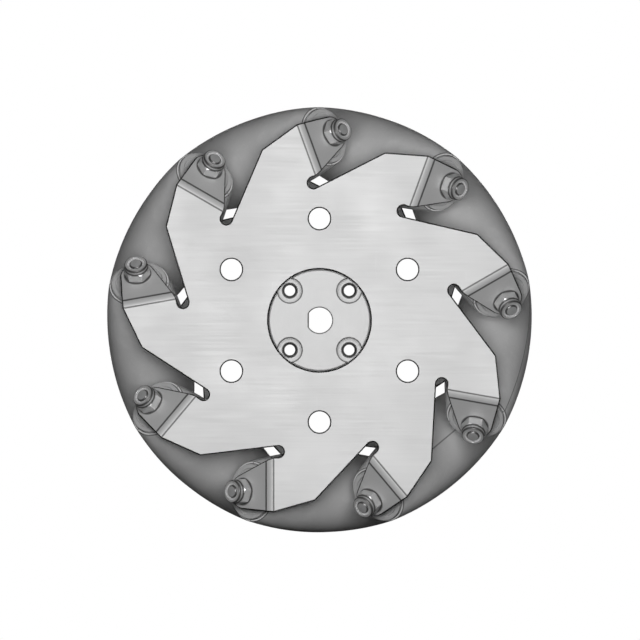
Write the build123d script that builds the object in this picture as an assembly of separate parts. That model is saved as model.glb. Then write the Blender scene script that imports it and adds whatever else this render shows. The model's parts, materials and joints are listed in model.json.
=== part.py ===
from build123d import *
import math
import os

# A mecanum wheel with nine barrel rollers between two bent sheet metal plates.
# The wheel turns about Y, its front faces -Y, and the origin is the middle of the wheel.

# Wheel
WHEEL_R = 50.0
ROLLER_COUNT = 9
PITCH = 360 / ROLLER_COUNT
FIRST_ROLLER_ANGLE = 270.0      # direction of roller 1 in the XZ plane, from +X towards +Z
TILT = 45.0                     # between a roller's axis and the wheel's axis
SIN_TILT = math.sin(math.radians(TILT))
COS_TILT = math.cos(math.radians(TILT))

# Rollers
ROLLER_R = 9.6                  # at the middle of the barrel
AXLE_R = WHEEL_R - ROLLER_R     # from the wheel's axis to a roller's middle
TYRE_HALF = 22.5
TYRE_END_R = 7.1
CORE_END_R = 6.5
CORE_TUBE_R = 4.6
CORE_COLLAR = 1.6               # thickness of the wide collar at each end of a core
BUSH_R = 2.5
BUSH_LENGTH = 7.0
END_FLOAT = 0.3                 # gap between a core and its thrust washer
MOULDED_EDGE = 0.2              # rounding of a core's outer corners
RUNNING_GAP = 0.05              # radial, between a bush and its axle bolt

# Side plates: u runs across a sector and v outward from the wheel's axis, at roller 1
PLATE_FACE = 24.28              # outer face of a plate, from the middle of the wheel
SHEET = 1.5
BEND_U = -10.83                 # where the flat ends and the bend to the ear begins
BEND_R = 2.5                    # outer radius of the bend
BEND_OUTER_V = 45.3
TOOTH_TIP = (-0.98, 42.5)
SLOT_CENTRE = (-9.75, 31.0)
SLOT_R = 1.3
EAR_TIP_R = 4.15
LIGHTENING_HOLE_R = 2.5
LIGHTENING_PCD = 48.0
LIGHTENING_COUNT = 6

# Fasteners, M3
BOLT_R = 1.5
BOLT_LENGTH = 55.0
BOLT_HEAD_R = 2.75
BOLT_HEAD_H = 3.0
SOCKET_ACROSS = 2.5
SOCKET_DEPTH = 1.4
BOLT_HOLE_R = 1.6
HEAD_EDGE = 0.3
BOLT_CHAMFER = 0.15
NUT_ACROSS = 5.5
NUT_HEX_H = 2.5
NUT_H = 3.75
NUT_COLLAR_R = 2.7
NUT_COLLAR_EDGE = 0.3
NUT_CORNER_DROP = 0.35          # how far the corners of the hexagon are turned off
NUT_CORNER_ANGLE = 120.0        # seen from the front, one corner of every nut points this way
INSERT_R = 2.0
INSERT_H = 1.0
WASHER_R = 3.25
WASHER_H = 0.5
WASHER_EDGE = 0.1

# Hub
HUB_FACE = 25.0                 # outer face of the hub, 0.7 proud of the plate
HUB_R = 11.92
HUB_HOLE_R = 12.08              # the hole in each plate that the hub stands in
HUB_FLANGE_H = 5.0
HUB_CHAMFER = 0.25
HOLE_CHAMFER = 0.15
SLEEVE_R = 7.0
SLEEVE_H = 15.0
SHAFT_R = 3.0
SHAFT_FLAT = 2.5                # from the axis to the flat of the D
SHAFT_FLAT_LENGTH = 10.0        # how far in the bore is a D; behind that it is round
RELIEF_R = 3.4                  # the groove that parts the D from the round stretch
RELIEF_LENGTH = 1.2
SCREW_SQUARE = 7.0              # the four screws sit at plus and minus this in X and Z
SCREW_HOLE_R = 1.75
SCREW_HEAD_R = 2.95
SCREW_HEAD_DEPTH = 3.2
TAPPED_R = 1.5
TAPPED_CHAMFER = 0.2
CORE_FLANGE_R = 20.0
CORE_FLANGE_H = 5.0
CORE_BARREL_R = 14.0
CORE_BORE_R = 4.0
CORE_FLANGE_CHAMFER = 0.4

# Derived: where a roller's axis leaves the outer face of an ear
BEND_REACH = BEND_R * SIN_TILT
BEND_DROP = BEND_R * (1 - COS_TILT)
EAR_HOLE_W = (PLATE_FACE + BEND_U - BEND_DROP - BEND_REACH) / (2 * COS_TILT)
EAR_FACE = (BEND_REACH - BEND_U) / SIN_TILT + EAR_HOLE_W
CORE_HALF = EAR_FACE - SHEET - WASHER_H - END_FLOAT
PLATE_INNER = PLATE_FACE - SHEET


def roller_plane(index):
    """The plane at a roller's middle: z along its axis to the front, x away from the wheel's axis."""
    turn = math.radians(FIRST_ROLLER_ANGLE + index * PITCH)
    outward = Vector(math.cos(turn), 0, math.sin(turn))
    sideways = Vector(math.sin(turn), 0, -math.cos(turn))
    axis = sideways * SIN_TILT + Vector(0, -1, 0) * COS_TILT
    return Plane(origin=outward * AXLE_R, x_dir=outward, z_dir=axis)


def wheel_plane(distance):
    """A plane across the wheel's axis, facing the front, at a distance in front of the middle."""
    return Plane(origin=(0, -distance, 0), x_dir=(1, 0, 0), z_dir=(0, -1, 0))


def rod(radius, low, high):
    """A cylinder along z from one height to another."""
    return Pos(0, 0, low) * Cylinder(radius, high - low, align=(Align.CENTER, Align.CENTER, Align.MIN))


def ring(outer, inner, low, high):
    """A tube along z from one height to another."""
    return rod(outer, low, high) - rod(inner, low, high)


def tangent_point(point, centre, radius, side):
    """Where a line from a point touches a circle; side is 1 or -1."""
    gap_x = point[0] - centre[0]
    gap_y = point[1] - centre[1]
    towards = math.atan2(gap_y, gap_x)
    swing = math.acos(radius / math.hypot(gap_x, gap_y))
    angle = towards + side * swing
    return (centre[0] + radius * math.cos(angle), centre[1] + radius * math.sin(angle))


def turned(point, index):
    """A sector's (u, v) point in the plate's own x and y, in the sector of a given roller."""
    angle = math.radians(index * PITCH)
    across, down = point[0], -point[1]
    x = across * math.cos(angle) - down * math.sin(angle)
    y = across * math.sin(angle) + down * math.cos(angle)
    return (x, y)


def sawtooth_outline():
    """The flat part of a plate: nine teeth, each ending in a slot beside the next bend."""
    step = math.radians(PITCH)
    tip_in_next = (TOOTH_TIP[0] * math.cos(step) - TOOTH_TIP[1] * math.sin(step),
                   TOOTH_TIP[0] * math.sin(step) + TOOTH_TIP[1] * math.cos(step))
    slot_top = tangent_point(tip_in_next, SLOT_CENTRE, SLOT_R, 1)
    slot_end = (SLOT_CENTRE[0] + SLOT_R, SLOT_CENTRE[1])
    slot_bottom = (SLOT_CENTRE[0], SLOT_CENTRE[1] + SLOT_R)
    bend_inner = (BEND_U, slot_bottom[1])
    bend_outer = (BEND_U, BEND_OUTER_V)
    edges = []
    for index in range(ROLLER_COUNT):
        tooth = [turned(point, index) for point in (bend_inner, bend_outer, TOOTH_TIP)]
        slot = [turned(point, index + 1) for point in (slot_top, slot_end, slot_bottom, bend_inner)]
        edges.append(Line(tooth[0], tooth[1]))
        edges.append(Line(tooth[1], tooth[2]))
        edges.append(Line(tooth[2], slot[0]))
        edges.append(ThreePointArc(slot[0], slot[1], slot[2]))
        edges.append(Line(slot[2], slot[3]))
    return make_face(edges)


def ear_strip():
    """The bend and the ear as one strip of even thickness, still wider than the ear."""
    length = EAR_HOLE_W + EAR_TIP_R + 1
    start = Vector(BEND_U, 0)
    inner_start = Vector(BEND_U, -SHEET)
    centre = Vector(BEND_U, -BEND_R)
    along = Vector(-COS_TILT, -SIN_TILT)
    half_turn = math.radians(90 + TILT / 2)
    half_way = Vector(math.cos(half_turn), math.sin(half_turn))
    normal = Vector(-SIN_TILT, COS_TILT)
    outer_end = centre + normal * BEND_R
    inner_end = centre + normal * (BEND_R - SHEET)
    section = make_face([
        ThreePointArc(start, centre + half_way * BEND_R, outer_end),
        Line(outer_end, outer_end + along * length),
        Line(outer_end + along * length, inner_end + along * length),
        Line(inner_end + along * length, inner_end),
        ThreePointArc(inner_end, centre + half_way * (BEND_R - SHEET), inner_start),
        Line(inner_start, start),
    ])
    low = SLOT_CENTRE[1]
    high = BEND_OUTER_V + 2
    return extrude(Plane.XZ.offset(low) * section, high - low)


def ear_shape():
    """The outline of an ear, seen square to it, as a thick block; it also covers the bend."""
    corner = Vector(BEND_U - BEND_REACH, 0, -BEND_DROP)
    plane = Plane(origin=corner, x_dir=(-COS_TILT, 0, -SIN_TILT), z_dir=(-SIN_TILT, 0, COS_TILT))
    back = -(BEND_REACH + BEND_DROP) * COS_TILT
    centre = (EAR_HOLE_W, AXLE_R)
    inner_root = (back, SLOT_CENTRE[1] + SLOT_R)
    outer_root = (back, BEND_OUTER_V)
    inner_touch = tangent_point(inner_root, centre, EAR_TIP_R, 1)
    outer_touch = tangent_point(outer_root, centre, EAR_TIP_R, -1)
    outline = make_face([
        Line(inner_root, inner_touch),
        ThreePointArc(inner_touch, (EAR_HOLE_W + EAR_TIP_R, AXLE_R), outer_touch),
        Line(outer_touch, outer_root),
        Line(outer_root, inner_root),
    ])
    outline -= Pos(EAR_HOLE_W, AXLE_R) * Circle(BOLT_HOLE_R)
    return extrude(plane * outline, SHEET * 2, both=True)


def side_plate():
    """A side plate seen from its outer face, which lies at z = 0."""
    flat = sawtooth_outline() - Circle(HUB_HOLE_R)
    flat -= PolarLocations(LIGHTENING_PCD / 2, LIGHTENING_COUNT, start_angle=90) * Circle(LIGHTENING_HOLE_R)
    plate = extrude(flat, -SHEET)
    ear = ear_strip() & ear_shape()
    for index in range(ROLLER_COUNT):
        plate += Rot(0, 0, index * PITCH) * ear
    return plate


def tyre():
    """The rubber barrel, moulded over the core and around its collars."""
    barrel = make_face([
        ThreePointArc((TYRE_END_R, -TYRE_HALF), (ROLLER_R, 0), (TYRE_END_R, TYRE_HALF)),
        Line((TYRE_END_R, TYRE_HALF), (0, TYRE_HALF)),
        Line((0, TYRE_HALF), (0, -TYRE_HALF)),
        Line((0, -TYRE_HALF), (TYRE_END_R, -TYRE_HALF)),
    ])
    return revolve(Plane.XZ * barrel, Axis.Z) - core_body()


def core_body():
    """The outside of a roller core: a tube with a wide collar at each end."""
    body = rod(CORE_TUBE_R, -CORE_HALF, CORE_HALF)
    body += rod(CORE_END_R, CORE_HALF - CORE_COLLAR, CORE_HALF)
    body += rod(CORE_END_R, -CORE_HALF, CORE_COLLAR - CORE_HALF)
    return body


def core():
    """A roller core, bored through for the bushes."""
    body = core_body()
    rims = body.edges().filter_by(GeomType.CIRCLE).group_by(Axis.Z)
    body = fillet(rims[0] + rims[-1], MOULDED_EDGE)
    return body - rod(BUSH_R, -CORE_HALF, CORE_HALF)


def bushes():
    """The two sleeve bushes of a roller, one at each end."""
    front = ring(BUSH_R, BOLT_R + RUNNING_GAP, CORE_HALF - BUSH_LENGTH, CORE_HALF)
    rear = ring(BUSH_R, BOLT_R + RUNNING_GAP, -CORE_HALF, BUSH_LENGTH - CORE_HALF)
    return [front, rear]


def axle_bolt():
    """A socket head bolt whose head bears on the rear ear."""
    tip = BOLT_LENGTH - EAR_FACE
    shank = chamfer(rod(BOLT_R, -EAR_FACE, tip).edges().group_by(Axis.Z)[-1], BOLT_CHAMFER)
    head = rod(BOLT_HEAD_R, -EAR_FACE - BOLT_HEAD_H, -EAR_FACE)
    head = fillet(head.edges().group_by(Axis.Z)[0], HEAD_EDGE)
    socket = RegularPolygon(SOCKET_ACROSS / 2, 6, major_radius=False)
    socket = extrude(Pos(0, 0, -EAR_FACE - BOLT_HEAD_H) * socket, SOCKET_DEPTH)
    return shank + head - socket


def lock_nut():
    """A lock nut on z = 0: a hexagon with its corners turned off, and a round collar."""
    corner_r = NUT_ACROSS / math.sqrt(3)
    slope = (corner_r - NUT_ACROSS / 2) / NUT_CORNER_DROP
    blank_r = corner_r + 0.05
    blank_drop = (blank_r - NUT_ACROSS / 2) / slope
    turned_blank = rod(blank_r, 0, NUT_HEX_H)
    turned_blank = chamfer(turned_blank.edges().filter_by(GeomType.CIRCLE), blank_drop,
                           blank_r - NUT_ACROSS / 2)
    hexagon = extrude(RegularPolygon(corner_r, 6), NUT_HEX_H)
    collar = rod(NUT_COLLAR_R, NUT_HEX_H / 2, NUT_H)
    collar = fillet(collar.edges().group_by(Axis.Z)[-1], NUT_COLLAR_EDGE)
    nut = (hexagon & turned_blank) + collar
    return nut - rod(BOLT_R, 0, NUT_H) - rod(INSERT_R, NUT_H - INSERT_H, NUT_H)


def nut_plane(index):
    """Where a nut sits on its ear, turned so that a corner points the common way seen from the front."""
    seat = roller_plane(index)
    angle = math.radians(NUT_CORNER_ANGLE)
    seen = Vector(math.cos(angle), 0, math.sin(angle))
    corner = seen - Vector(0, 1, 0) * (seen.dot(seat.z_dir) / seat.z_dir.Y)
    return Plane(origin=seat.origin + seat.z_dir * EAR_FACE, x_dir=corner, z_dir=seat.z_dir)


def nut_insert():
    """The locking ring inside a nut's collar, a little below its rim."""
    return ring(INSERT_R, BOLT_R, NUT_H - INSERT_H, NUT_H - 0.15)


def thrust_washer(low):
    """A washer between a core's end and the ear beside it."""
    blank = rod(WASHER_R, low, low + WASHER_H)
    blank = fillet(blank.edges().filter_by(GeomType.CIRCLE), WASHER_EDGE)
    return blank - rod(BOLT_R + RUNNING_GAP, low, low + WASHER_H)


def screw_places():
    """The four screw positions around the shaft."""
    return GridLocations(2 * SCREW_SQUARE, 2 * SCREW_SQUARE, 2, 2)


def screw_mouth():
    """The countersunk mouth of a tapped hole, narrow end at z = 0."""
    upright = (Align.CENTER, Align.CENTER, Align.MIN)
    return Cone(TAPPED_R, TAPPED_R + TAPPED_CHAMFER, TAPPED_CHAMFER, align=upright)


def drive_hub():
    """The flanged hub with the D bore, its outer face at z = 0."""
    flange = chamfer(rod(HUB_R, -HUB_FLANGE_H, 0).edges().group_by(Axis.Z)[-1], HUB_CHAMFER)
    hub = flange + rod(SLEEVE_R, -HUB_FLANGE_H - SLEEVE_H, -HUB_FLANGE_H)
    beyond_flat = Pos(-SHAFT_FLAT) * Rectangle(SHAFT_R, 2 * SHAFT_R, align=(Align.MAX, Align.CENTER))
    hub -= extrude(Circle(SHAFT_R) - beyond_flat, -SHAFT_FLAT_LENGTH)
    hub -= rod(RELIEF_R, -SHAFT_FLAT_LENGTH - RELIEF_LENGTH, -SHAFT_FLAT_LENGTH)
    hub -= rod(SHAFT_R, -HUB_FLANGE_H - SLEEVE_H, -SHAFT_FLAT_LENGTH - RELIEF_LENGTH)
    for place in screw_places():
        hub -= place * rod(SCREW_HOLE_R, -HUB_FLANGE_H, 0)
        hub -= place * rod(SCREW_HEAD_R, -SCREW_HEAD_DEPTH, 0)
    face = hub.faces().sort_by(Axis.Z)[-1]
    return chamfer([edge for wire in face.inner_wires() for edge in wire.edges()], HOLE_CHAMFER, HOLE_CHAMFER)


def hub_core():
    """The spool that holds the plates apart, with z = 0 at the middle of the wheel."""
    flange = rod(CORE_FLANGE_R, PLATE_INNER - CORE_FLANGE_H, PLATE_INNER)
    flange = chamfer(flange.edges().filter_by(GeomType.CIRCLE), CORE_FLANGE_CHAMFER)
    spool = rod(CORE_BARREL_R, -PLATE_INNER, PLATE_INNER) + flange + mirror(flange, Plane.XY)
    spool += chamfer(rod(HUB_R, -HUB_FACE, 0).edges().group_by(Axis.Z)[0], HUB_CHAMFER)
    seat = HUB_FACE - HUB_FLANGE_H
    spool -= rod(HUB_HOLE_R, seat, PLATE_INNER)
    spool -= rod(SLEEVE_R, seat - SLEEVE_H, seat)
    spool -= rod(CORE_BORE_R, -HUB_FACE, HUB_FACE)
    for place in screw_places():
        spool -= place * rod(TAPPED_R, -HUB_FACE, seat)
        spool -= place * Pos(0, 0, seat - TAPPED_CHAMFER) * screw_mouth()
        spool -= place * Pos(0, 0, TAPPED_CHAMFER - HUB_FACE) * Rot(180, 0, 0) * screw_mouth()
    return spool


def save(name, solids):
    """Write one node, a single solid or a group of separate solids."""
    shape = solids[0] if len(solids) == 1 else Compound(children=solids)
    export_step(shape, "parts/" + name + ".step")


def on_every_roller(shape):
    """Copies of a shape at all the rollers."""
    return [roller_plane(index) * shape for index in range(ROLLER_COUNT)]


def main():
    os.makedirs("parts", exist_ok=True)

    plate = wheel_plane(PLATE_FACE) * side_plate()
    save("front_plate", [plate])
    save("rear_plate", [Rot(0, 0, 180) * plate])
    save("hub_core", [wheel_plane(0) * hub_core()])
    save("drive_hub", [wheel_plane(HUB_FACE) * drive_hub()])

    save("axle_bolts", on_every_roller(axle_bolt()))
    nut, insert = lock_nut(), nut_insert()
    save("lock_nuts", [nut_plane(index) * nut for index in range(ROLLER_COUNT)])
    save("nut_inserts", [nut_plane(index) * insert for index in range(ROLLER_COUNT)])
    save("front_thrust_washers", on_every_roller(thrust_washer(EAR_FACE - SHEET - WASHER_H)))
    save("rear_thrust_washers", on_every_roller(thrust_washer(SHEET - EAR_FACE)))

    roller_tyre, roller_core, roller_bushes = tyre(), core(), bushes()
    for index in range(ROLLER_COUNT):
        name = "roller_" + str(index + 1)
        place = roller_plane(index)
        save(name + "_tyre", [place * roller_tyre])
        save(name + "_core", [place * roller_core])
        save(name + "_bushes", [place * bush for bush in roller_bushes])


main()
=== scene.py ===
import json
import math

import bmesh
import bpy
from mathutils.bvhtree import BVHTree
from mathutils import Matrix, Vector


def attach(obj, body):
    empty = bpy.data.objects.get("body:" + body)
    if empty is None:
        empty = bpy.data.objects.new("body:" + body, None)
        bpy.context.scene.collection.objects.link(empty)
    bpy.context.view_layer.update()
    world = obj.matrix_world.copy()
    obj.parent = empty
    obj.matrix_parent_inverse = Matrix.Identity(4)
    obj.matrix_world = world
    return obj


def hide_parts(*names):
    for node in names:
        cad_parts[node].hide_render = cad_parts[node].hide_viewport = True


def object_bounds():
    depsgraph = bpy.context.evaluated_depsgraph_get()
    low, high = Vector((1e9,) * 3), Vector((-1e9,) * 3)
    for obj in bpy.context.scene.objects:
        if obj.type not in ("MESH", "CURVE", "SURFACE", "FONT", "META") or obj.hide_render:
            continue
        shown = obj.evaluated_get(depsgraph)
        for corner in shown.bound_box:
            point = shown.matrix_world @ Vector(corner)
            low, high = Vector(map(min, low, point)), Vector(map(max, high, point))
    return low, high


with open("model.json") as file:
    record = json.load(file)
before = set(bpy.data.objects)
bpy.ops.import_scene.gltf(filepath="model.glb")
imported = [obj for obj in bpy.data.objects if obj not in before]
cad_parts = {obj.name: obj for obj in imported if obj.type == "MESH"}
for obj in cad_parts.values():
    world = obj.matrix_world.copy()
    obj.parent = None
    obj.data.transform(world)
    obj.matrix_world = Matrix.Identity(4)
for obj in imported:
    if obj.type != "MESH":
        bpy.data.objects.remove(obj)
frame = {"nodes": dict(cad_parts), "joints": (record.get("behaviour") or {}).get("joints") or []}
cad_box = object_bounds()

MM = 0.001

# Roller, axle bolt and nut, along the roller's own axis from its middle, in millimetres
TYRE_R = 9.6
TYRE_HALF = 22.5
TYRE_END_R = 7.1
TYRE_LIP_R = 0.3                # rounding of a tyre's two rims
COLLAR_GROOVE = 0.15            # the groove around a core's collar, wide and deep
COLLAR_R = 6.5
COLLAR = 1.6
TUBE_R = 4.6
CORE_HALF = 23.26
FLASH_HEIGHT = 0.05             # the moulding line along a tyre
FLASH_WIDTH = 0.16
BORE_R = 2.5
RECESS = (3.7, 5.5, 0.3)        # inner and outer radius and depth of the dish in a core's end
CORE_RIM = 0.2                  # rounding of a core's outer corners
CORE_SOFT = 0.1                 # chamfer of its other corners
NUT_HEX_TOP = 28.06
NUT_RING = (28.31, 29.16)       # where a nut's nylon ring starts and ends along the bolt
NUT_RING_R = 2.0
NUT_COLLAR_R = 2.7
EAR_FACE = 25.56                # from the roller's middle to the outer face of an ear
BOLT_R = 1.5
BOLT_TIP = 29.44
THREAD_PITCH = 0.5
THREAD_DEPTH = 0.2
THREAD_RINGS = 56
HEAD_R = 2.75
HEAD_H = 3.0
KNURL_COUNT = 36
KNURL_DEPTH = 0.14
SOCKET_ACROSS = 2.5
SOCKET_DEPTH = 1.4

# Plates, in metres; across and outward are measured in each roller's sector
PITCH = math.radians(40)
BEND_ACROSS = -0.01083          # the edge of a bend on the flat
BEND_REACH = 0.00177            # from there to the edge on the ear
BEND_OUTWARD = 0.0318           # where a bend begins, from the wheel's axis
MARK_WIDTH = 0.00025
SECTOR_START = math.radians(36)
BOLT_ACROSS = -0.01807          # where an axle bolt leaves an ear
BOLT_OUTWARD = 0.0404
SEAT_R = 0.0034                 # the ring around a nut or bolt head on an ear: a scuff, and painted shade at its foot

# Hub bore, hub screws and their threads, in metres
SHAFT_R = 0.003
SHAFT_FLAT = 0.0025
SPOOL_BORE_R = 0.004
SCREW_HOLE_R = 0.00175
SCREW_HEAD_R = 0.00295
HOLE_EDGE = 0.00016
SCREW_SQUARE = 0.007
TAPPED_R = 0.0015
TAP_DRILL_R = 0.00125
TAP_LENGTH = 0.008
TAP_PITCH = 0.0005
TAP_STARTS = {"front": -0.0198, "rear": 0.0248}

# Softened edges of the metal parts, in metres
SHEET_EDGE = 0.00031
SMALL_EDGE = 0.00005

WELD = 1e-6                     # points this close are one point
SLIVER = 0.0001                 # the same for the plates, whose bends end in slivers
STRAY_OUT = 0.00005             # how far outside a node's surface a rounded edge may reach
STRAY_IN = 1.3                  # and how far inside, in widths of the edge
FLAT_ANGLE = math.radians(0.4)  # faces that meet flatter than this are one face
EDGE_ANGLE = math.radians(28)   # and steeper than this, they meet in an edge

# Where the moulding lines of two rollers have come to rest, in degrees from straight outward
SEAM_TURNS = {"roller_2": 90.0, "roller_3": 27.0}

# Picture
PICTURE_WIDTH = 0.1510          # metres across the picture
CAMERA_AT = (0.00012, -0.6, 0.00007)
FLOOR_SIZE = 6.0
FLOOR_DROP = 0.0001             # from the lowest point of the wheel
FLOOR_TONE = 0.8
FLOOR_BOUNCE = 0.08
FLOOR_FADE = (0.1, 0.3)         # from the wheel's middle, where the floor starts to fade and is all white
AMBIENT = 0.065

# Square lamps: name, place, size and watts; the last lights the floor alone
LAMPS = (
    ("front_box", (0.0, -0.4, 0.0), 0.2, 1.36),
    ("top_box", (0.2, 0.1, 1.4), 1.2, 0.35),
    ("rear_box", (0.0, 0.4, 0.0), 0.2, 1.2),
    ("floor_box", (0.0, 0.0, 2.0), 1.6, 42.0),
)


# ---------------------------------------------------------------- materials

class Surface:
    """A Principled material with short ways to add and join nodes."""

    def __init__(self, name):
        self.material = bpy.data.materials.new(name)
        self.material.use_nodes = True
        self.nodes = self.material.node_tree.nodes
        self.links = self.material.node_tree.links
        self.shader = self.nodes["Principled BSDF"]

    def set(self, **values):
        """Sets the shader's own sockets."""
        for key, value in values.items():
            self.shader.inputs[key.replace("_", " ")].default_value = value

    def link(self, source, target):
        self.links.new(source, target)

    def node(self, kind, **inputs):
        """A new node with its sockets set or linked."""
        made = self.nodes.new(kind)
        for key, value in inputs.items():
            socket = made.inputs[key]
            if isinstance(value, bpy.types.NodeSocket):
                self.link(value, socket)
            else:
                socket.default_value = value
        return made

    def place(self, attribute=None):
        """Coordinates in metres: the object's own, or those kept in a mesh attribute."""
        if attribute is None:
            return self.nodes.new("ShaderNodeTexCoord").outputs["Object"]
        made = self.nodes.new("ShaderNodeAttribute")
        made.attribute_name = attribute
        return made.outputs["Vector"]

    def stretched(self, place, scale):
        made = self.node("ShaderNodeMapping", Vector=place)
        made.inputs["Scale"].default_value = scale
        return made.outputs["Vector"]

    def length(self, vector):
        made = self.nodes.new("ShaderNodeVectorMath")
        made.operation = "LENGTH"
        self.link(vector, made.inputs[0])
        return made.outputs["Value"]

    def noise(self, place, scale, detail=3.0, roughness=0.55):
        settings = {"Scale": scale, "Detail": detail, "Roughness": roughness}
        return self.node("ShaderNodeTexNoise", Vector=place, **settings).outputs["Fac"]

    def ramp(self, value, low, high, out_low=0.0, out_high=1.0):
        """value taken from low..high to out_low..out_high, and held past the ends."""
        made = self.nodes.new("ShaderNodeMapRange")
        made.inputs["From Min"].default_value = low
        made.inputs["From Max"].default_value = high
        made.inputs["To Min"].default_value = out_low
        made.inputs["To Max"].default_value = out_high
        self.link(value, made.inputs["Value"])
        return made.outputs["Result"]

    def math(self, operation, first, second=0.0):
        made = self.nodes.new("ShaderNodeMath")
        made.operation = operation
        for socket, value in zip(made.inputs, (first, second)):
            if isinstance(value, bpy.types.NodeSocket):
                self.link(value, socket)
            else:
                socket.default_value = value
        return made.outputs["Value"]

    def mix(self, factor, first, second):
        """A colour between two colours."""
        made = self.nodes.new("ShaderNodeMix")
        made.data_type = "RGBA"
        sockets = [s for s in made.inputs if s.enabled]
        for socket, value in zip(sockets, (factor, first, second)):
            if isinstance(value, bpy.types.NodeSocket):
                self.link(value, socket)
            else:
                socket.default_value = value
        return [s for s in made.outputs if s.enabled][0]

    def colour(self, value):
        self.link(value, self.shader.inputs["Base Color"])

    def rough(self, value):
        self.link(value, self.shader.inputs["Roughness"])

    def bump(self, height, distance, strength=1.0, after=None):
        made = self.node("ShaderNodeBump", Height=height, Distance=distance, Strength=strength)
        if after is not None:
            self.link(after, made.inputs["Normal"])
        self.link(made.outputs["Normal"], self.shader.inputs["Normal"])
        return made.outputs["Normal"]


def grey(value, warmth=0.0):
    """A grey colour, warm above 0 and cool below."""
    return (value * (1 + warmth), value, value * (1 - warmth), 1.0)


def press_marks_and_seat_shade(s, place):
    """1 along both edges of every bend, from the press tool, and in a ring around every bolt: a scuff from
    its nut, and painted shade at the nut's foot.
    """
    xyz = s.node("ShaderNodeSeparateXYZ", Vector=place)
    x, down = xyz.outputs["X"], s.math("MULTIPLY", xyz.outputs["Z"], -1.0)
    angle = s.math("ADD", s.math("ARCTAN2", x, down), SECTOR_START)
    angle = s.math("SUBTRACT", s.math("FLOORED_MODULO", angle, PITCH), SECTOR_START)
    reach = s.math("SQRT", s.math("ADD", s.math("MULTIPLY", x, x), s.math("MULTIPLY", down, down)))
    across = s.math("MULTIPLY", reach, s.math("SINE", angle))
    outward = s.math("MULTIPLY", reach, s.math("COSINE", angle))
    marks = []
    for edge in (BEND_ACROSS, BEND_ACROSS - BEND_REACH):
        off = s.math("ABSOLUTE", s.math("SUBTRACT", across, edge))
        marks.append(s.ramp(off, MARK_WIDTH, MARK_WIDTH * 0.5))
    both = s.math("MAXIMUM", marks[0], marks[1])
    both = s.math("MULTIPLY", both, s.ramp(outward, BEND_OUTWARD, BEND_OUTWARD + MARK_WIDTH))
    aside = s.math("MULTIPLY", s.math("SUBTRACT", across, BOLT_ACROSS), math.sqrt(2))
    beyond = s.math("SUBTRACT", outward, BOLT_OUTWARD)
    from_bolt = s.math("ADD", s.math("MULTIPLY", aside, aside), s.math("MULTIPLY", beyond, beyond))
    # the ring around each bolt: a scuff, and painted shade at the nut's foot
    seat_scuff_and_shade = s.ramp(s.math("SQRT", from_bolt), SEAT_R, SEAT_R - MARK_WIDTH)
    return s.math("MAXIMUM", both, seat_scuff_and_shade)


def sheet_metal(name, tone, turned_round):
    """Satin sheet metal: fine grain, faint clouds, a few hairlines, press marks at the bends, and a ring of
    scuff and painted shade around each bolt.
    """
    s = Surface(name)
    s.set(Metallic=0.15)
    place = s.place()
    grain = s.noise(s.stretched(place, (60.0, 3000.0, 3000.0)), 1.0, 2.0)
    clouds = s.noise(place, 70.0, 4.0)
    hair = s.noise(s.stretched(place, (500.0, 500.0, 35.0)), 1.0, 5.0, 0.7)
    scratch = s.ramp(hair, 0.66, 0.72)
    marks = press_marks_and_seat_shade(s, s.stretched(place, (-1.0 if turned_round else 1.0, 1.0, 1.0)))
    tone_now = s.mix(s.ramp(clouds, 0.3, 0.7), grey(tone * 0.97), grey(tone * 1.02))
    tone_now = s.mix(s.ramp(grain, 0.3, 0.7, 0.0, 0.25), tone_now, grey(tone * 0.9))
    tone_now = s.mix(s.math("MULTIPLY", scratch, 0.3), tone_now, grey(min(1.0, tone * 1.2)))
    # darker along the bends, and in a ring of painted shade around each bolt
    s.colour(s.mix(s.math("MULTIPLY", marks, 0.9), tone_now, grey(tone * 0.1)))
    s.rough(s.math("ADD", s.ramp(clouds, 0.25, 0.75, 0.42, 0.52), s.ramp(grain, 0.2, 0.8, -0.03, 0.05)))
    first = s.bump(grain, 0.000004, 0.35)
    second = s.bump(scratch, 0.000006, 0.25, after=first)
    s.bump(s.math("SUBTRACT", 1.0, marks), 0.00002, 0.5, after=second)
    return s.material


def cut_metal(name, tone):
    """Cut metal with fine marks across it, as a laser or a tap leaves it."""
    s = Surface(name)
    s.set(Metallic=0.3)
    marks = s.noise(s.stretched(s.place(), (4000.0, 400.0, 4000.0)), 1.0, 2.0)
    s.colour(s.mix(s.ramp(marks, 0.3, 0.7), grey(tone * 0.7, 0.01), grey(tone * 1.2, 0.02)))
    s.rough(s.ramp(marks, 0.3, 0.7, 0.45, 0.6))
    s.bump(marks, 0.00001, 0.4)
    return s.material


def screw_distance(s, x, z):
    """How far a point is from the nearest of the four hub screws' axes."""
    aside = s.math("SUBTRACT", s.math("ABSOLUTE", x), SCREW_SQUARE)
    above = s.math("SUBTRACT", s.math("ABSOLUTE", z), SCREW_SQUARE)
    return s.math("SQRT", s.math("ADD", s.math("MULTIPLY", aside, aside), s.math("MULTIPLY", above, above)))


def hub_painted_shade(s, x, z, from_axis):
    """1 where shade is painted on the hub: in the D bore, the screw holes and the corners around them."""
    bore = s.ramp(from_axis, SHAFT_R + 2 * HOLE_EDGE, SHAFT_R + HOLE_EDGE)
    bore = s.math("MULTIPLY", bore, s.ramp(x, -SHAFT_FLAT - 2.6 * HOLE_EDGE, -SHAFT_FLAT - 1.6 * HOLE_EDGE))
    from_screw = screw_distance(s, x, z)
    hole = s.ramp(from_screw, SCREW_HOLE_R + 1.4 * HOLE_EDGE, SCREW_HOLE_R + 0.8 * HOLE_EDGE)
    corner = near(s, from_screw, SCREW_HEAD_R, 1.3 * HOLE_EDGE)
    return s.math("MAXIMUM", bore, s.math("MAXIMUM", hole, corner))


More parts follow.
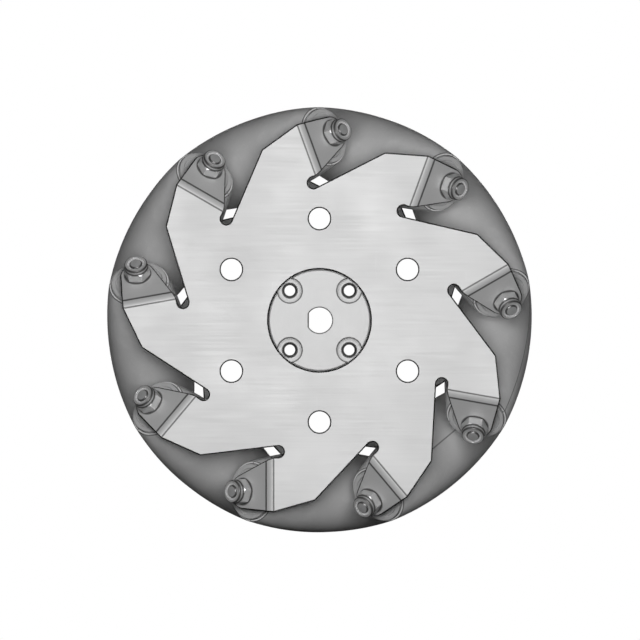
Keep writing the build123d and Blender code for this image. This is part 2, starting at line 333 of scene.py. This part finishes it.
def spool_painted_shade(s, x, z, from_axis):
    """1 where shade is painted on the spool: in its bore and its tapped holes."""
    bore = s.ramp(from_axis, SPOOL_BORE_R + 1.5 * HOLE_EDGE, SPOOL_BORE_R + 0.5 * HOLE_EDGE)
    hole = s.ramp(screw_distance(s, x, z), SCREW_HOLE_R + HOLE_EDGE, SCREW_HOLE_R)
    return s.math("MAXIMUM", bore, hole)


def turned_metal(name, tone, marks):
    """Turned aluminium: rings around the wheel's axis, with painted shade where the given function says."""
    s = Surface(name)
    s.set(Metallic=0.2)
    place = s.place()
    from_axis = s.length(s.stretched(place, (1.0, 0.0, 1.0)))
    rings = s.nodes.new("ShaderNodeTexNoise")
    rings.noise_dimensions = "1D"
    rings.inputs["Scale"].default_value = 11000.0
    rings.inputs["Detail"].default_value = 2.0
    s.link(from_axis, rings.inputs["W"])
    rings = rings.outputs["Fac"]
    clouds = s.noise(place, 180.0, 3.0)
    tone_now = s.mix(s.ramp(clouds, 0.3, 0.7), grey(tone * 0.96), grey(tone * 1.03))
    tone_now = s.mix(s.ramp(rings, 0.35, 0.7, 0.0, 0.3), tone_now, grey(tone * 0.86))
    xyz = s.node("ShaderNodeSeparateXYZ", Vector=place)
    hollow_shade = marks(s, xyz.outputs["X"], xyz.outputs["Z"], from_axis)
    # painted shade, near black, in the holes and corners
    s.colour(s.mix(s.math("MULTIPLY", hollow_shade, 0.93), tone_now, grey(0.025, 0.02)))
    s.rough(s.ramp(rings, 0.3, 0.7, 0.40, 0.52))
    s.bump(rings, 0.000006, 0.35)
    return s.material


def near(s, value, middle, reach):
    """1 where a value is at the middle, falling to 0 at the reach on both sides."""
    return s.ramp(s.math("ABSOLUTE", s.math("SUBTRACT", value, middle)), reach, reach * 0.35)


def bolt_reach(s, place):
    """How far along and out from a bolt's own axis, in metres."""
    xyz = s.node("ShaderNodeSeparateXYZ", Vector=place)
    x, y = xyz.outputs["X"], xyz.outputs["Y"]
    out = s.math("SQRT", s.math("ADD", s.math("MULTIPLY", x, x), s.math("MULTIPLY", y, y)))
    return xyz.outputs["Z"], out


def plated_steel(name, tone, painted_shade_marks):
    """Zinc plated steel, faintly mottled, with painted shade, and on nuts a dark rim line, where the given
    function of along and out says.
    """
    s = Surface(name)
    s.set(Metallic=0.55)
    place = s.place("local")
    spots = s.noise(place, 900.0, 4.0, 0.65)
    clouds = s.noise(place, 260.0, 3.0)
    base = s.mix(s.ramp(clouds, 0.3, 0.7), grey(tone * 0.93, -0.01), grey(tone * 1.06, 0.012))
    base = s.mix(s.ramp(spots, 0.58, 0.72, 0.0, 0.4), base, grey(tone * 0.7, 0.02))
    s.colour(s.mix(s.math("MULTIPLY", painted_shade_marks(s, *bolt_reach(s, place)), 0.85), base, grey(0.03, 0.02)))
    s.rough(s.ramp(spots, 0.3, 0.75, 0.3, 0.48))
    s.bump(spots, 0.00001, 0.25)
    return s.material


def nut_shade_and_rim_line(s, along, out):
    """Painted shade in the corner under a nut and between its hexagon and its collar, and a dark line
    around its rim.
    """
    foot = s.ramp(along, EAR_FACE * MM + 0.0002, EAR_FACE * MM + 0.00008)
    within_collar = s.ramp(out, 0.0029, 0.0028)
    waist = s.math("MULTIPLY", near(s, along, NUT_HEX_TOP * MM, 0.0004), within_collar)
    on_collar = s.ramp(along, 0.0286, 0.0289)
    brim = s.math("MULTIPLY", near(s, out, (NUT_COLLAR_R - 0.06) * MM, 0.00024), on_collar)
    return s.math("MAXIMUM", s.math("MAXIMUM", foot, waist), brim)


def bolt_painted_shade(s, along, out):
    """Painted shade in the roots of the thread, around its end, and in the corner under the head."""
    on_thread = s.ramp(along, 0.025, 0.0255)
    below_tip = s.ramp(along, BOLT_TIP * MM - 0.00002, BOLT_TIP * MM - 0.00006)
    root = s.math("MULTIPLY", s.ramp(out, 0.00146, 0.00138), s.math("MULTIPLY", on_thread, below_tip))
    on_tip = s.ramp(along, 0.0288, 0.0289)
    rim = s.math("MULTIPLY", near(s, out, (BOLT_R - 0.12) * MM, 0.0002), on_tip)
    return s.math("MAXIMUM", s.math("MAXIMUM", root, rim), near(s, along, -EAR_FACE * MM, 0.0002))


def rubber(name, tone):
    """Moulded rubber, matt, with a darker band around its middle, partly wear where the roller meets the
    ground and partly painted shade at the wheel's outer edge, and painted shade in the groove at each end.
    """
    s = Surface(name)
    s.set(Metallic=0.0, Specular_IOR_Level=0.2)
    place = s.place("local")
    xyz = s.node("ShaderNodeSeparateXYZ", Vector=place)
    along = s.math("ABSOLUTE", xyz.outputs["Z"])
    out = bolt_reach(s, place)[1]
    seam = s.ramp(s.math("ABSOLUTE", xyz.outputs["Y"]), 0.00022, 0.0001)
    # painted shade in the groove by the core's collar and at the tyre's rim
    groove = s.ramp(out, (COLLAR_R + COLLAR_GROOVE + 0.1) * MM, (COLLAR_R + COLLAR_GROOVE) * MM)
    groove = s.math("MAXIMUM", groove, near(s, along, (TYRE_HALF - TYRE_LIP_R * 0.6) * MM, 0.00018))
    ragged = s.math("ADD", along, s.ramp(s.noise(place, 260.0, 4.0), 0.3, 0.7, -0.003, 0.003))
    # darker around the middle: wear, and painted shade at the wheel's outer edge
    wear_and_shade_band = s.ramp(ragged, 0.019, 0.009)
    pores = s.noise(place, 5200.0, 2.0)
    clouds = s.noise(place, 150.0, 4.0)
    dust = s.ramp(s.noise(place, 900.0, 5.0, 0.7), 0.52, 0.74)
    base = s.mix(s.ramp(clouds, 0.3, 0.7), grey(tone * 0.94), grey(tone * 1.05))
    base = s.mix(s.math("MULTIPLY", wear_and_shade_band, 0.3), base, grey(tone * 0.5))
    base = s.mix(s.math("MULTIPLY", dust, 0.1), base, grey(tone * 1.4, 0.01))
    # the moulding line darkened, and painted shade in the grooves
    seam_line_and_groove_shade = s.math("MAXIMUM", s.math("MULTIPLY", seam, 0.7), groove)
    s.colour(s.mix(s.math("MULTIPLY", seam_line_and_groove_shade, 0.85), base, grey(0.04)))
    s.rough(s.math("SUBTRACT", s.ramp(clouds, 0.3, 0.7, 0.66, 0.78), s.math("MULTIPLY", wear_and_shade_band, 0.08)))
    scuffs = s.noise(s.stretched(place, (420.0, 420.0, 2600.0)), 1.0, 3.0)
    first = s.bump(pores, 0.00002, 0.4)
    s.bump(scuffs, 0.00002, 0.16, after=first)
    return s.material


def nylon(name, tone, place_attribute=None):
    """Moulded nylon: slightly waxy, with faint flow marks."""
    s = Surface(name)
    s.set(Metallic=0.0, Specular_IOR_Level=0.45)
    place = s.place(place_attribute)
    flow = s.noise(place, 420.0, 4.0)
    fine = s.noise(place, 4200.0, 2.0)
    s.colour(s.mix(s.ramp(flow, 0.3, 0.7), grey(tone * 0.93), grey(tone * 1.06)))
    s.rough(s.ramp(flow, 0.3, 0.7, 0.42, 0.54))
    s.bump(fine, 0.000012, 0.3)
    return s.material


def bronze(name):
    """Sintered bronze, oily and porous."""
    s = Surface(name)
    s.set(Metallic=1.0)
    place = s.place()
    pores = s.noise(place, 5000.0, 3.0)
    clouds = s.noise(place, 500.0, 3.0)
    s.colour(s.mix(s.ramp(clouds, 0.3, 0.7), (0.42, 0.27, 0.13, 1), (0.55, 0.38, 0.2, 1)))
    s.rough(s.ramp(pores, 0.3, 0.7, 0.35, 0.5))
    s.bump(pores, 0.00001, 0.4)
    return s.material


def plain_paper(name, tone):
    """The pale floor, which throws little light back on the wheel and fades into the white around it."""
    s = Surface(name)
    s.set(Metallic=0.0, Roughness=0.9, Specular_IOR_Level=0.0, Emission_Color=grey(1.0))
    seen = s.nodes.new("ShaderNodeLightPath").outputs["Is Camera Ray"]
    s.colour(s.mix(seen, grey(tone * FLOOR_BOUNCE), grey(tone)))
    fade = s.ramp(s.length(s.place()), *FLOOR_FADE)
    s.link(s.math("MULTIPLY", seen, fade), s.shader.inputs["Emission Strength"])
    return s.material


# ---------------------------------------------------------------- meshes

def roller_matrix(joint):
    """From a roller's own frame, z along its axis to the front and x outward, to the row frame."""
    middle = Vector(joint["pos_m"])
    axis = Vector(joint["axis"]).normalized()
    outward = middle.normalized()
    across = axis.cross(outward)
    turn = Matrix((outward, across, axis)).transposed().to_4x4()
    return Matrix.Translation(middle) @ turn


def mesh_piece(name, bm, materials):
    """An object from a bmesh, smooth but for its sharp edges."""
    for face in bm.faces:
        face.smooth = True
    for edge in bm.edges:
        edge.smooth = not edge.is_manifold or edge.calc_face_angle() < EDGE_ANGLE
    mesh = bpy.data.meshes.new(name)
    bm.to_mesh(mesh)
    bm.free()
    for material in materials:
        mesh.materials.append(material)
    piece = bpy.data.objects.new(name, mesh)
    bpy.context.scene.collection.objects.link(piece)
    return piece


def ringed(rings, segments, closed=False):
    """A bmesh from rings (z, radius or a function of the angle and z), in millimetres.

    A closed one joins its last ring to its first; an open one gets a cap on each end."""
    bm = bmesh.new()
    layer = bm.verts.layers.float_vector.new("local")
    rows = []
    for z, radius in rings:
        row = []
        for step in range(segments):
            angle = 2 * math.pi * step / segments
            r = radius(angle, z) if callable(radius) else radius
            vert = bm.verts.new(Vector((r * math.cos(angle), r * math.sin(angle), z)) * MM)
            vert[layer] = vert.co
            row.append(vert)
        rows.append(row)
    pairs = list(zip(rows, rows[1:]))
    if closed:
        pairs.append((rows[-1], rows[0]))
    for low, high in pairs:
        for step in range(segments):
            after = (step + 1) % segments
            bm.faces.new((low[step], low[after], high[after], high[step]))
    if not closed:
        bm.faces.new(list(reversed(rows[0])))
        bm.faces.new(rows[-1])
    bmesh.ops.recalc_face_normals(bm, faces=bm.faces)
    return bm


def placed(bm, matrix):
    """The bmesh moved to its place in the row frame."""
    bmesh.ops.transform(bm, matrix=matrix, verts=bm.verts)
    return bm


def joined(parts):
    """One bmesh from several."""
    whole = bmesh.new()
    for part in parts:
        mesh = bpy.data.meshes.new("part")
        part.to_mesh(mesh)
        part.free()
        whole.from_mesh(mesh)
        bpy.data.meshes.remove(mesh)
    return whole


def arc(centre_z, centre_r, radius, start, end, steps):
    """Points (z, r) along a round corner, angles in degrees from +z towards +r."""
    points = []
    for step in range(steps + 1):
        angle = math.radians(start + (end - start) * step / steps)
        points.append((centre_z + radius * math.cos(angle), centre_r + radius * math.sin(angle)))
    return points


def tyre_rings():
    """The closed outline of a tyre: barrel, rounded rims, and the bore that holds the core."""
    rise = TYRE_R - TYRE_END_R
    barrel_r = (TYRE_HALF ** 2 + rise ** 2) / (2 * rise)
    drop = barrel_r - TYRE_R

    def barrel(z):
        return math.sqrt(barrel_r ** 2 - z ** 2) - drop

    edge = TYRE_HALF - TYRE_LIP_R
    steps = 60
    heights = [-edge + 2 * edge * i / steps for i in range(steps + 1)]
    points = [(z, barrel(z)) for z in heights]
    rim_r = barrel(edge) - TYRE_LIP_R
    front_rim = arc(edge, rim_r, TYRE_LIP_R, 90, 0, 5)[1:]
    rear_rim = arc(-edge, rim_r, TYRE_LIP_R, 180, 90, 5)[:-1]
    seat_scuff_and_shade = CORE_HALF - COLLAR
    groove = TYRE_HALF - COLLAR_GROOVE
    front = [(TYRE_HALF, COLLAR_R + COLLAR_GROOVE), (groove, COLLAR_R), (seat_scuff_and_shade, COLLAR_R), (seat_scuff_and_shade, TUBE_R)]
    rear = [(-z, r) for z, r in reversed(front)]
    return points + front_rim + front + rear + rear_rim


def core_mesh():
    """A moulded core: a tube with a collar at each end, dished around its bore."""
    inner, outer, depth = RECESS
    soft = CORE_SOFT
    rim = arc(CORE_HALF - CORE_RIM, COLLAR_R - CORE_RIM, CORE_RIM, 90, 0, 4)
    dish = [(CORE_HALF, outer + soft), (CORE_HALF - soft, outer), (CORE_HALF - depth, outer - soft),
            (CORE_HALF - depth, inner + soft), (CORE_HALF - soft, inner), (CORE_HALF, inner - soft),
            (CORE_HALF, BORE_R + soft), (CORE_HALF - soft, BORE_R)]
    front = [(CORE_HALF - COLLAR, TUBE_R), (CORE_HALF - COLLAR, COLLAR_R)] + rim + dish
    rear = [(-z, r) for z, r in reversed(front)]
    return ringed(rear + front, 120, closed=True)


def flash(angle):
    """How far the moulding line stands up at an angle, 0 to 1; there are two, opposite each other."""
    off = abs(math.remainder(angle, math.pi)) * TYRE_R
    return math.exp(-(off / FLASH_WIDTH) ** 2)


def tyre_mesh():
    """A rubber barrel with two fine moulding lines."""
    rings = []
    for z, r in tyre_rings():
        outer = r > COLLAR_R + 0.01

        def radius(angle, at, r=r, outer=outer):
            return r + (FLASH_HEIGHT * flash(angle) if outer else 0.0)

        rings.append((z, radius))
    return ringed(rings, 288, closed=True)


def hexagon(across):
    """The radius of a hexagon at an angle."""
    def radius(angle, z):
        return across / 2 / math.cos(math.remainder(angle, math.pi / 3))
    return radius


def knurl(angle, z):
    """The radius of a knurled cap head at an angle."""
    tooth = abs(math.remainder(angle * KNURL_COUNT / (2 * math.pi), 1.0)) * 2
    return HEAD_R - KNURL_DEPTH * tooth ** 1.5


def thread(angle, z):
    """The radius of the bolt's thread at an angle and height."""
    turn = math.remainder(z / THREAD_PITCH - angle / (2 * math.pi), 1.0)
    depth = min(1.0, abs(turn) * 2.4)
    run_out = min(1.0, max(0.0, (z - EAR_FACE) / THREAD_PITCH))
    return BOLT_R - THREAD_DEPTH * depth * run_out


def tap_mesh():
    """The ridges of a tapped hole, running along z from 0, and a little into the metal outside."""
    def ridge(angle, z):
        turn = abs(math.remainder(z / (TAP_PITCH / MM) - angle / (2 * math.pi), 1.0)) * 2
        depth = (TAPPED_R - TAP_DRILL_R) / MM
        return TAPPED_R / MM - depth * min(1.0, max(0.0, 1.15 * turn - 0.05))

    length = TAP_LENGTH / MM
    steps = round(length / (TAP_PITCH / MM) * 8)
    rings = [(length * i / steps, ridge) for i in range(steps + 1)]
    outside = TAPPED_R / MM + 0.05
    return ringed(rings + [(length, outside), (0.0, outside)], 36, closed=True)


def nut_ring_mesh():
    """The nylon ring inside a nut's collar, rounded outside and more so inside."""
    low, high = NUT_RING
    outer_edge, inner_edge = 0.12, 0.2
    rings = [(low, NUT_RING_R), (high - outer_edge, NUT_RING_R)]
    rings += arc(high - outer_edge, NUT_RING_R - outer_edge, outer_edge, 90, 0, 3)[1:]
    rings += arc(high - inner_edge, NUT_RING_R - 2 * outer_edge, inner_edge, 0, -80, 4)
    rings += [(high - 0.35, BOLT_R), (low, BOLT_R)]
    return ringed(rings, 72, closed=True)


def bolt_mesh():
    """A cap head bolt with a knurled head, a hexagon socket and a threaded end."""
    end, foot = -EAR_FACE - HEAD_H, -EAR_FACE
    floor, mouth = end + SOCKET_DEPTH, 0.12
    corner, plain_r = 0.3, HEAD_R - KNURL_DEPTH
    rings = [(floor + 0.25, 0.02), (floor, hexagon(SOCKET_ACROSS)),
             (end + mouth, hexagon(SOCKET_ACROSS)), (end, hexagon(SOCKET_ACROSS + 2 * mouth))]
    rings += [(end, HEAD_R - corner - 0.05)]
    rings += arc(end + corner, plain_r - corner, corner, 180, 90, 4)
    rings += [(end + corner + 0.15, knurl), (foot - 0.4, knurl)]
    rings += [(foot - 0.25, plain_r), (foot - 0.08, plain_r), (foot, plain_r - 0.1), (foot, BOLT_R)]
    rings += [(EAR_FACE - 1.0, BOLT_R)]
    top = BOLT_TIP - 0.2
    rings += [(EAR_FACE + (top - EAR_FACE) * i / THREAD_RINGS, thread) for i in range(THREAD_RINGS + 1)]
    rings += [(BOLT_TIP - 0.02, BOLT_R - 0.24), (BOLT_TIP, BOLT_R - 0.32)]
    return ringed(rings, 4 * KNURL_COUNT)


def smooth_patches(bm):
    """The faces in groups that are bounded by sharp edges, the largest group first."""
    left = set(bm.faces)
    patches = []
    while left:
        patch, front = [], [left.pop()]
        while front:
            face = front.pop()
            patch.append(face)
            for edge in face.edges:
                if edge.is_manifold and edge.calc_face_angle() < EDGE_ANGLE:
                    beside = [near for near in edge.link_faces if near in left]
                    left.difference_update(beside)
                    front.extend(beside)
        patches.append(patch)
    return sorted(patches, key=lambda patch: -sum(face.calc_area() for face in patch))


def mark_local(bm, places):
    """Keeps in the mesh where each point lies in the frame of the nearest bolt."""
    layer = bm.verts.layers.float_vector.new("local")
    inward = [place.inverted() for place in places]
    for vert in bm.verts:
        seen = [turn @ vert.co for turn in inward]
        vert[layer] = min(seen, key=lambda at: math.hypot(at.x, at.y))


def fold_strays(bm, source, width):
    """Folds each point that the rounding threw clear of the source's surface into a neighbour on it."""
    faces = [tuple(face.vertices) for face in source.polygons]
    tree = BVHTree.FromPolygons([vert.co for vert in source.vertices], faces)

    def stray(vert):
        surface, normal, _, distance = tree.find_nearest(vert.co)
        return distance > STRAY_IN * width or (vert.co - surface).dot(normal) > STRAY_OUT

    strays = [vert for vert in bm.verts if stray(vert)]
    lost = set(strays)
    folds = {}
    for vert in strays:
        around = [edge.other_vert(vert) for edge in vert.link_edges]
        sound = [other for other in around if other not in lost]
        if sound:
            folds[vert] = min(sound, key=lambda other: (other.co - vert.co).length)
    bmesh.ops.weld_verts(bm, targetmap=folds)


def softened(node, name, width, materials, places=(), weld=WELD):
    """A CAD node's shape as a piece of its own, with its sharp edges rounded off.

    The last material goes on the rounded edges, and of three the second on a sheet's narrow sides."""
    bm = bmesh.new()
    bm.from_mesh(frame["nodes"][node].data)
    bmesh.ops.remove_doubles(bm, verts=bm.verts, dist=weld)
    bmesh.ops.dissolve_limit(bm, angle_limit=FLAT_ANGLE, verts=bm.verts, edges=bm.edges)
    if len(materials) > 1:
        for patch in smooth_patches(bm)[2:]:
            for face in patch:
                face.material_index = 1
    sharp = [e for e in bm.edges if e.is_manifold and e.calc_face_angle() > EDGE_ANGLE]
    bmesh.ops.bevel(bm, geom=sharp, offset=width, segments=2, profile=0.5, affect="EDGES",
                    clamp_overlap=False, loop_slide=True, material=len(materials) - 1)
    fold_strays(bm, frame["nodes"][node].data, width)
    if places:
        mark_local(bm, places)
    piece = mesh_piece(name, bm, materials)
    even = piece.modifiers.new("shading", "WEIGHTED_NORMAL")
    even.keep_sharp = False
    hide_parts(node)
    return piece


def finish_piece(piece, body):
    """Says which body a piece rides on."""
    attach(piece, body)
    return piece


# ---------------------------------------------------------------- the wheel

def paint(node, material):
    """Gives a CAD node its material."""
    slots = frame["nodes"][node].data.materials
    slots.clear()
    slots.append(material)


def make_plates():
    """Both plates, metal on their broad sides, with dark rounded edges."""
    cut = cut_metal("cut_sheet_side", 0.5)
    rim = cut_metal("cut_sheet_edge", 0.022)
    for side in ("front", "rear"):
        metal = sheet_metal(side + "_sheet", 0.6, side == "rear")
        piece = softened(side + "_plate", side + "_plate_sheet", SHEET_EDGE, [metal, cut, rim], weld=SLIVER)
        finish_piece(piece, "root")


def make_hub():
    """The turned parts' finish with painted shade in their holes, and a thread, painted near black as
    shade, in each of the hub's screw holes.
    """
    paint("drive_hub", turned_metal("turned_hub", 0.5, hub_painted_shade))
    paint("hub_core", turned_metal("turned_spool", 0.55, spool_painted_shade))
    # the threads are painted near black: painted shade deep in the screw holes
    thread_shade = cut_metal("painted_shade_thread", 0.05)
    for side, start in TAP_STARTS.items():
        screws = [(x, z) for x in (-SCREW_SQUARE, SCREW_SQUARE) for z in (-SCREW_SQUARE, SCREW_SQUARE)]
        inward = 1.0 if side == "front" else -1.0
        turn = Matrix.Rotation(math.radians(-90 * inward), 4, "X")
        liners = [placed(tap_mesh(), Matrix.Translation((x, start, z)) @ turn) for x, z in screws]
        piece = mesh_piece(side + "_tapped_threads", joined(liners), [thread_shade])
        finish_piece(piece, "root")


def make_fasteners(places):
    """Bolts, nuts, nylon rings and thrust washers."""
    steel = plated_steel("zinc_bolt", 0.68, bolt_painted_shade)
    nut_steel = plated_steel("zinc_nut", 0.72, nut_shade_and_rim_line)
    bolts = joined([placed(bolt_mesh(), place) for place in places])
    piece = mesh_piece("cap_head_bolts", bolts, [steel])
    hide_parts("axle_bolts")
    finish_piece(piece, "root")
    nuts = softened("lock_nuts", "locking_nuts", SMALL_EDGE, [nut_steel], places)
    finish_piece(nuts, "root")
    rings = joined([placed(nut_ring_mesh(), place) for place in places])
    piece = mesh_piece("nylon_rings", rings, [nylon("nut_nylon", 0.72, "local")])
    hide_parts("nut_inserts")
    finish_piece(piece, "root")
    washer = nylon("washer_nylon", 0.45)
    paint("front_thrust_washers", washer)
    paint("rear_thrust_washers", washer)


def make_rollers(places):
    """A tyre and a core for each roller, and the finish of its bushes."""
    tread = rubber("roller_rubber", 0.78)
    core = nylon("core_nylon", 0.58, "local")
    bush = bronze("bush_bronze")
    for index, place in enumerate(places):
        body = "roller_" + str(index + 1)
        seam = SEAM_TURNS.get(body, -4.0 - 3.0 * (index % 4))
        turn = Matrix.Rotation(math.radians(seam), 4, "Z")
        piece = mesh_piece(body + "_barrel", placed(tyre_mesh(), place @ turn), [tread])
        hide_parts(body + "_tyre")
        finish_piece(piece, body)
        piece = mesh_piece(body + "_spool", placed(core_mesh(), place), [core])
        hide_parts(body + "_core")
        finish_piece(piece, body)
        paint(body + "_bushes", bush)


# ---------------------------------------------------------------- the studio

def make_floor():
    """A wide floor just under the wheel."""
    bm = bmesh.new()
    bmesh.ops.create_grid(bm, x_segments=4, y_segments=4, size=FLOOR_SIZE / 2)
    bmesh.ops.translate(bm, verts=bm.verts, vec=(0, 0, cad_box[0].z - FLOOR_DROP))
    floor = mesh_piece("floor", bm, [plain_paper("floor_paper", FLOOR_TONE)])
    return floor


def make_world():
    """White behind the wheel, and a dimmer even light on it."""
    world = bpy.data.worlds.new("studio")
    bpy.context.scene.world = world
    world.use_nodes = True
    nodes, links = world.node_tree.nodes, world.node_tree.links
    background = nodes["Background"]
    seen = nodes.new("ShaderNodeBackground")
    seen.inputs["Color"].default_value = grey(1.0)
    background.inputs["Color"].default_value = grey(AMBIENT)
    path = nodes.new("ShaderNodeLightPath")
    mix = nodes.new("ShaderNodeMixShader")
    links.new(path.outputs["Is Camera Ray"], mix.inputs["Fac"])
    links.new(background.outputs[0], mix.inputs[1])
    links.new(seen.outputs[0], mix.inputs[2])
    links.new(mix.outputs[0], nodes["World Output"].inputs["Surface"])


def soft_light(name, place, size, power):
    """A square lamp, not seen itself, that looks at the wheel's middle."""
    light = bpy.data.lights.new(name, "AREA")
    light.shape = "SQUARE"
    light.size = size
    light.energy = power
    lamp = bpy.data.objects.new(name, light)
    lamp.location = place
    lamp.rotation_euler = (-Vector(place)).to_track_quat("-Z", "Y").to_euler()
    lamp.visible_camera = False
    bpy.context.scene.collection.objects.link(lamp)
    return lamp


def make_lights(floor):
    """All the lamps, the last of them for the floor alone."""
    only_floor = bpy.data.collections.new("only_floor")
    only_floor.objects.link(floor)
    lamps = [soft_light(*lamp) for lamp in LAMPS]
    lamps[-1].light_linking.receiver_collection = only_floor


def make_camera():
    """Straight from the front, without perspective."""
    camera = bpy.data.cameras.new("camera")
    camera.type = "ORTHO"
    camera.ortho_scale = PICTURE_WIDTH
    camera.clip_start = 0.01
    camera.clip_end = 20
    holder = bpy.data.objects.new("camera", camera)
    holder.location = CAMERA_AT
    holder.rotation_euler = (math.radians(90), 0, 0)
    bpy.context.scene.collection.objects.link(holder)
    bpy.context.scene.camera = holder


places = [roller_matrix(joint) for joint in frame["joints"]]
make_camera()
make_plates()
make_hub()
make_fasteners(places)
make_rollers(places)
make_world()
make_lights(make_floor())
bpy.context.scene.view_settings.view_transform = "Standard"
